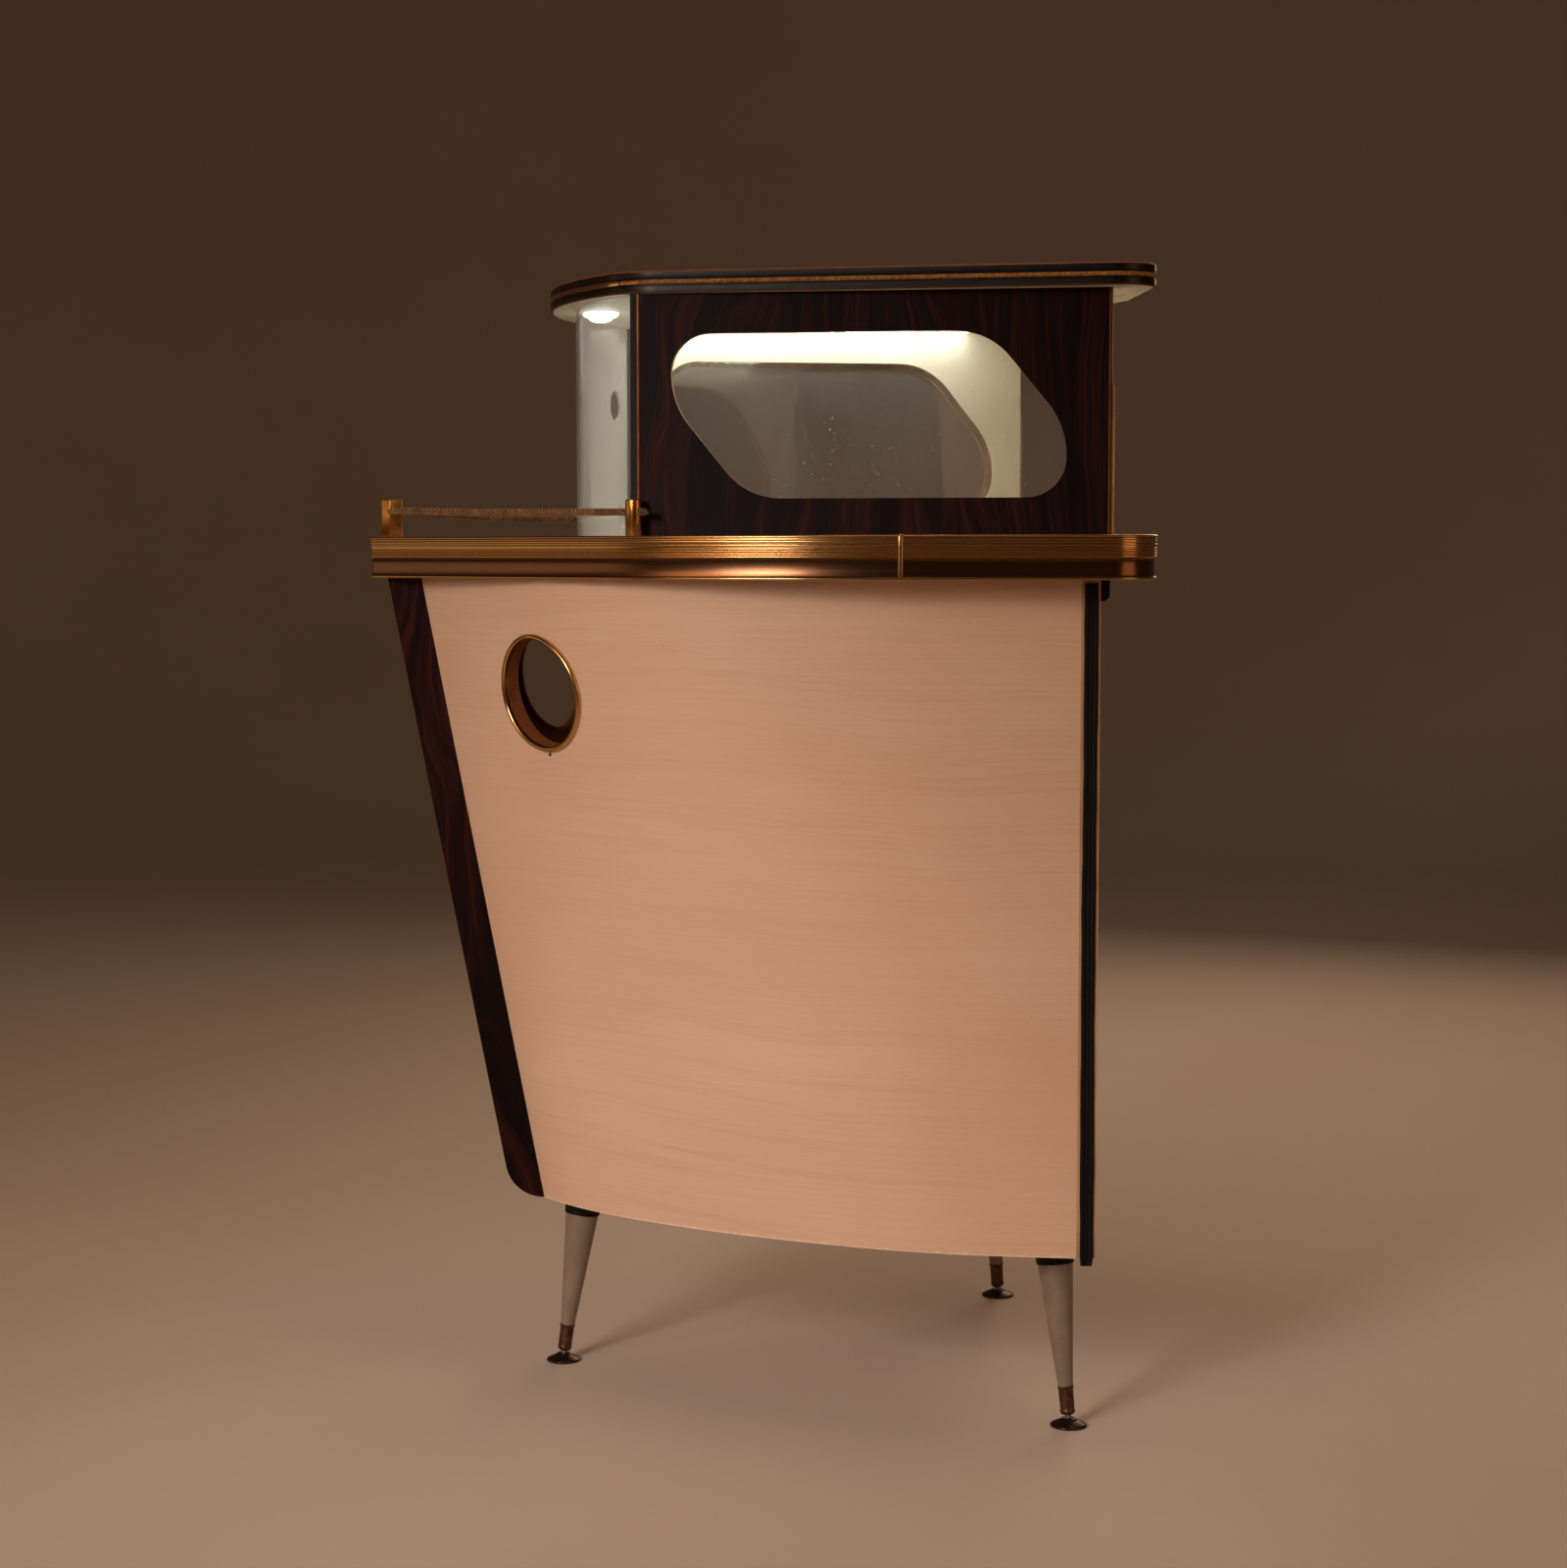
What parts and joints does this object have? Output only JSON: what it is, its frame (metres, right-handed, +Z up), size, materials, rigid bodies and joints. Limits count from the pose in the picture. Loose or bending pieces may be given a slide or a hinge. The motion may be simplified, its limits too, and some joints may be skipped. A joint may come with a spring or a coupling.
{
  "type": "drinks cabinet",
  "caption": "Boat-shaped drinks cabinet: bent plywood hull on splayed tapered legs, metal-edged counter, lit glazed cabin with roof, and a rope hand-rail.",
  "frame": {"origin": "on the floor, under the middle of the overall box", "axes": "+Z up, -X towards the prow, +X towards the open serving side, -Y towards the port side"},
  "size_m": [0.8756, 0.8808, 1.2902],
  "materials": {
    "hull_veneer": "pale maple veneer, satin lacquer",
    "rosewood": "dark rosewood veneer, semi-gloss",
    "raw_wood": "unfinished softwood and ply edges",
    "carcass": "plain ply, matt",
    "laminate": "cream laminate, satin",
    "trim_gold": "satin bronze-gold anodised edging",
    "brass": "aged brass, satin",
    "white_panel": "cream-white paint, satin",
    "clear": "clear acrylic sheet with light dust",
    "roof_edge": "dark edging, gloss",
    "leg_paint": "warm grey enamel, semi-gloss",
    "dark_metal": "oxidised dark metal",
    "rubber": "black rubber, matt",
    "rope": "twisted gold-brown cord",
    "black_plastic": "black plastic",
    "white_plastic": "white plastic",
    "led": "lit white lens",
    "steel": "zinc-plated steel"
  },
  "bodies": {
    "cabinet": {"hull_panel_port": "hull_veneer", "hull_panel_starboard": "hull_veneer", "stem_post": "rosewood", "bottom_board": "carcass", "inner_shelf": "carcass", "shelf_cleats": "raw_wood", "top_rails": "raw_wood", "rear_batten_port": "raw_wood", "rear_batten_starboard": "raw_wood", "seal_strip_port": "rubber", "seal_strip_starboard": "rubber", "rear_apron_rail": "rosewood", "porthole_ring_port": "brass", "porthole_ring_starboard": "brass", "counter_board": "carcass", "counter_laminate": "laminate", "counter_trim": "trim_gold", "trim_joint_clips": "trim_gold", "leg_blocks": "black_plastic", "leg_screws": "steel", "leg_prow": "leg_paint", "leg_port": "leg_paint", "leg_starboard": "leg_paint", "ferrule_prow": "dark_metal", "ferrule_port": "dark_metal", "ferrule_starboard": "dark_metal", "glide_stems": "steel", "cabin_side_port": "rosewood", "cabin_side_starboard": "rosewood", "cabin_liner_port": "white_panel", "cabin_liner_starboard": "white_panel", "window_pane_port": "clear", "window_pane_starboard": "clear", "cabin_edge_strips": "brass", "screen_channels": "black_plastic", "windscreen": "clear", "rear_guard_battens": "raw_wood", "roof_board": "rosewood", "roof_ceiling": "white_panel", "roof_edge_band": "roof_edge", "roof_gold_line": "brass", "led_strips": "led", "downlight_rim": "white_plastic", "downlight_lens": "led", "led_driver": "white_plastic", "wire_trunking": "white_plastic", "cable_gland": "black_plastic", "prow_post": "brass", "side_post_port": "brass", "side_post_starboard": "brass", "rope_port": "rope", "rope_starboard": "rope", "rope_knot_port": "rope", "rope_knot_starboard": "rope"},
    "foot_pad_prow": {"foot_pad_prow": "dark_metal"},
    "foot_pad_port": {"foot_pad_port": "dark_metal"},
    "foot_pad_starboard": {"foot_pad_starboard": "dark_metal"},
    "switch_rocker": {"switch_rocker": "black_plastic"}
  },
  "joints": [
    {"name": "foot_pad_prow_swivel", "type": "hinge", "parent": "cabinet", "child": "foot_pad_prow", "pos_m": [-0.21285, 0, 0.0062], "axis": [0, 0, 1], "continuous": true},
    {"name": "foot_pad_port_swivel", "type": "hinge", "parent": "cabinet", "child": "foot_pad_port", "pos_m": [0.35865, -0.3, 0.0062], "axis": [0, 0, 1], "continuous": true},
    {"name": "foot_pad_starboard_swivel", "type": "hinge", "parent": "cabinet", "child": "foot_pad_starboard", "pos_m": [0.35865, 0.3, 0.0062], "axis": [0, 0, 1], "continuous": true},
    {"name": "light_switch", "type": "hinge", "parent": "cabinet", "child": "switch_rocker", "pos_m": [0.33415, 0.275, 0.939], "axis": [0, 0, 1], "range_deg": [0, 14]}
  ]
}
